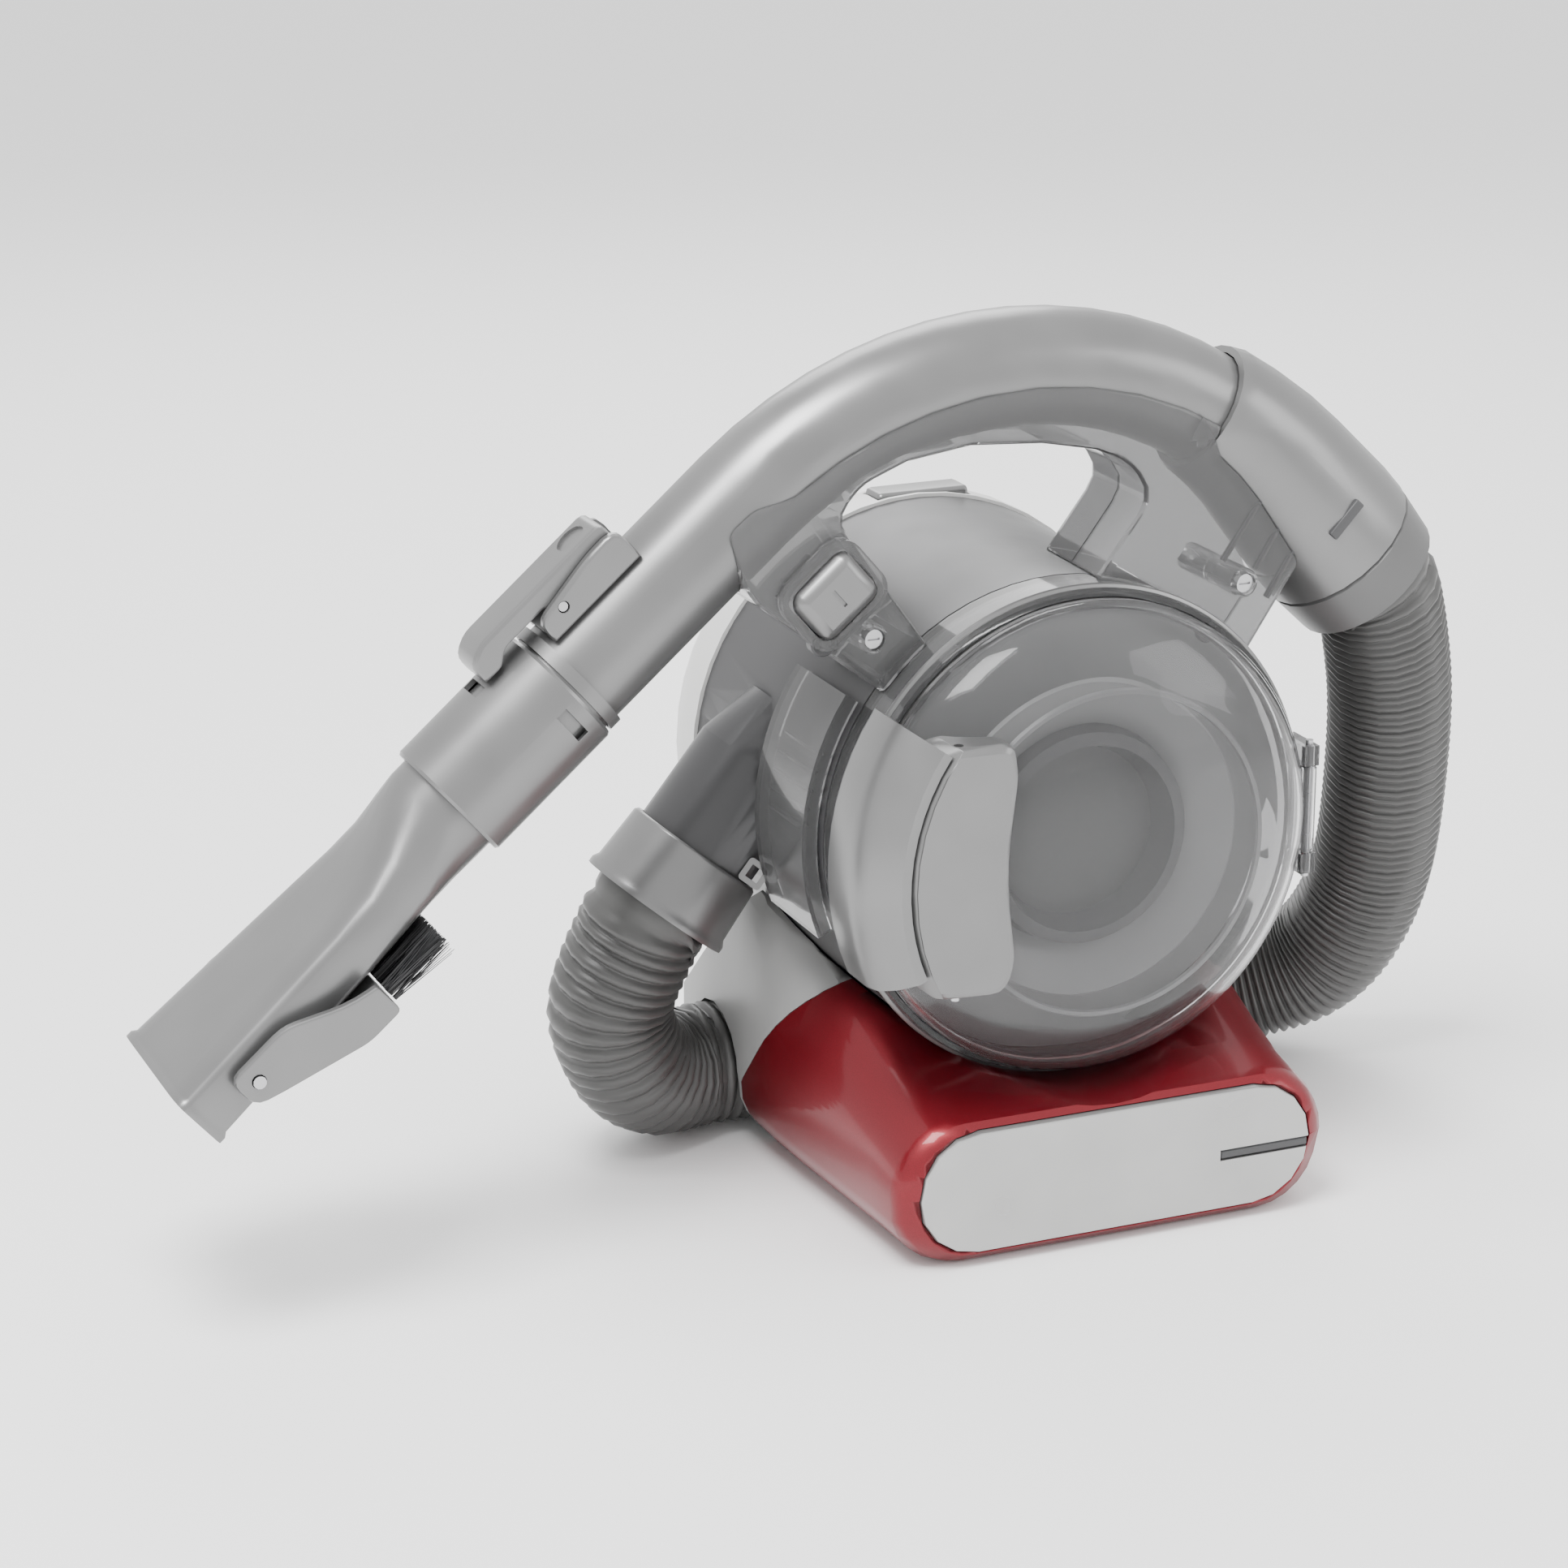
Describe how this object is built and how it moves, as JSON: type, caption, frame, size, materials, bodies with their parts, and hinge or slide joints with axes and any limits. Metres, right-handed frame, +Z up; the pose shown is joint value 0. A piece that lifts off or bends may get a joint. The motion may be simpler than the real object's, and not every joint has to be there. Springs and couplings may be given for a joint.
{
  "type": "handheld vacuum",
  "caption": "Handheld vacuum: round see-through dust drum on a flat base, carrying arch, clip-on curved wand with crevice nozzle and flip brush, and a hose looped under the drum",
  "frame": {"origin": "centre of the flat bottom face of the base", "axes": "+Z up, +X to the right seen from the clear door, -Y towards the door"},
  "size_m": [0.4545, 0.189, 0.2838],
  "materials": {
    "red": "deep metallic red, glossy moulding",
    "light_grey": "light grey moulding, semi-gloss",
    "white": "white moulding, semi-gloss",
    "silver": "satin silver painted plastic",
    "panel_silver": "brushed-look silver plastic",
    "mid_grey": "mid grey plastic",
    "hose_grey": "satin grey flexible plastic",
    "smoke": "smoked transparent plastic",
    "clear": "clear, lightly smoked plastic",
    "black": "black nylon bristle",
    "dark": "dark grey plastic",
    "rubber": "black rubber",
    "steel": "bare steel",
    "cell": "blue sleeved battery cell",
    "board": "green circuit board",
    "filter": "pleated filter cloth"
  },
  "bodies": {
    "main": {"base_cover": "red", "base_housing": "light_grey", "base_plate": "dark", "end_panel": "panel_silver", "charge_window": "dark", "battery_tray": "dark", "charge_board": "board", "drum_shell": "smoke", "fan_inlet_plate": "dark", "fan_housing": "dark", "motor_can": "steel", "motor_mount": "rubber", "rear_cover": "white", "bowl_gasket": "rubber", "handle_front_shell": "clear", "handle_rear_shell": "smoke", "handle_screw_1": "steel", "handle_screw_2": "steel", "power_switch": "dark", "flank_cover": "clear", "inlet_cuff": "silver", "hose": "hose_grey", "foot_pad_1": "rubber", "foot_pad_2": "rubber", "foot_pad_3": "rubber", "foot_pad_4": "rubber", "battery_cell_1": "cell", "battery_cell_2": "cell", "battery_cell_3": "cell", "battery_cell_4": "cell", "battery_cell_5": "cell"},
    "bowl": {"dust_bowl": "smoke", "filter_cup": "dark", "pleated_filter": "filter", "door_hinge_pin": "steel", "door_seal": "rubber"},
    "door": {"door": "clear", "door_lens": "mid_grey", "latch_pin": "steel", "latch_band": "silver"},
    "door_latch": {"latch_paddle": "silver"},
    "power_button": {"power_button": "silver"},
    "release_button": {"release_button": "silver"},
    "fan": {"fan": "mid_grey"},
    "wand": {"wand_tube": "silver", "wand_sleeve": "silver", "hose_cuff": "mid_grey", "wand_ferrule": "silver", "latch_bracket": "silver", "tool_latch_pin": "steel"},
    "tool_latch": {"tool_latch": "silver"},
    "tool": {"tool_collar": "silver", "crevice_nozzle": "silver", "brush_pin_1": "steel", "brush_pin_2": "steel"},
    "brush": {"brush_frame": "silver", "brush_bristles": "black"}
  },
  "joints": [
    {"name": "bowl_slide", "type": "slide", "parent": "main", "child": "bowl", "axis": [0, -1, 0], "range_m": [0, 0.09]},
    {"name": "door_hinge", "type": "hinge", "parent": "bowl", "child": "door", "pos_m": [0.0776, -0.0495, 0.124], "axis": [0, 0, 1], "range_deg": [0, 100]},
    {"name": "door_latch_rock", "type": "hinge", "parent": "door", "child": "door_latch", "pos_m": [-0.055, -0.072, 0.124], "axis": [0, 0, 1], "range_deg": [0, 3], "stiffness_Nm_per_rad": 1.5},
    {"name": "power_press", "type": "slide", "parent": "main", "child": "power_button", "axis": [0, 1, 0], "range_m": [0, 0.003], "stiffness_N_per_m": 400},
    {"name": "release_press", "type": "slide", "parent": "main", "child": "release_button", "axis": [0, 0, -1], "range_m": [0, 0.003], "stiffness_N_per_m": 500},
    {"name": "fan_spin", "type": "hinge", "parent": "main", "child": "fan", "pos_m": [0, 0.014, 0.124], "axis": [0, 1, 0], "continuous": true},
    {"name": "wand_lift", "type": "hinge", "parent": "main", "child": "wand", "pos_m": [0.11709, -0.012, 0.18675], "axis": [0, 1, 0], "range_deg": [0, 10]},
    {"name": "tool_latch_rock", "type": "hinge", "parent": "wand", "child": "tool_latch", "pos_m": [-0.16027, -0.012, 0.20866], "axis": [0, 1, 0], "range_deg": [0, 7], "stiffness_Nm_per_rad": 0.8},
    {"name": "tool_slide", "type": "slide", "parent": "wand", "child": "tool", "axis": [-0.7547, 0, -0.6561], "range_m": [0, 0.045]},
    {"name": "brush_flip", "type": "hinge", "parent": "tool", "child": "brush", "pos_m": [-0.26415, -0.012, 0.08458], "axis": [0, 1, 0], "range_deg": [0, 170]}
  ]
}
